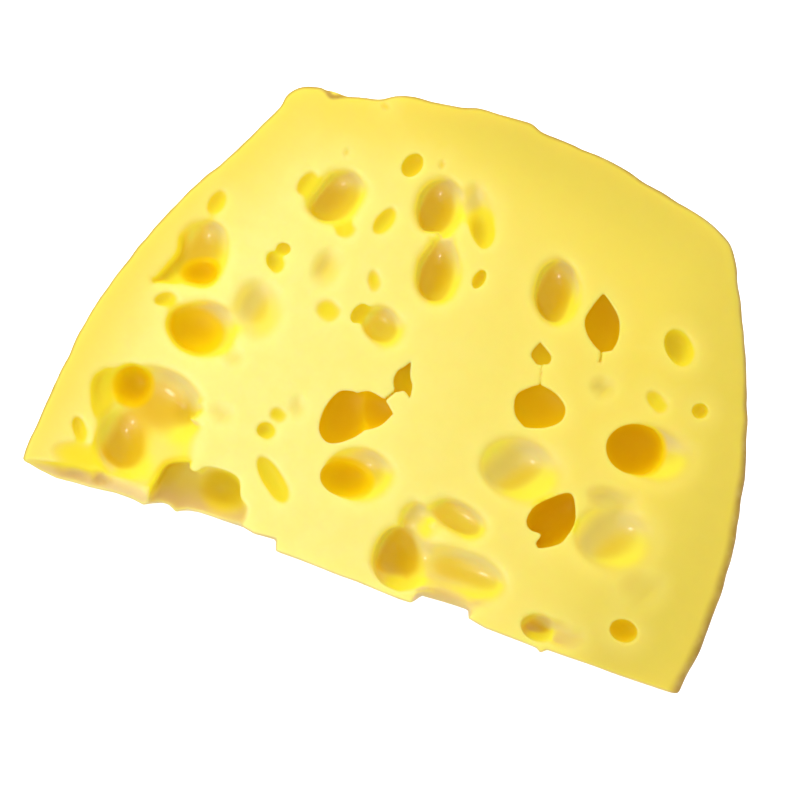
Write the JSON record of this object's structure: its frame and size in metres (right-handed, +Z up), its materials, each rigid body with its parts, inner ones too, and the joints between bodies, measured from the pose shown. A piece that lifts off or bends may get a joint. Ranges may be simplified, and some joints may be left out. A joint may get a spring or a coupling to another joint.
{
  "type": "cheese wedge",
  "caption": "Wedge of pale yellow big-eyed cheese cut from a domed round wheel, with eyes of many sizes in its cut faces and a thin rind on its outer sides.",
  "frame": {"origin": "under the middle of the wedge's box, on the surface that the lower cut face rests on", "axes": "+X along the near cut, +Y from the near cut to the rim, +Z up"},
  "size_m": [0.1424, 0.1018, 0.0505],
  "materials": {
    "cheese": "smooth, slightly oily pale yellow cheese, translucent, deeper yellow to orange in its eyes, with a thin ochre rind"
  },
  "bodies": {
    "root": {"cheese": "cheese"}
  },
  "joints": []
}
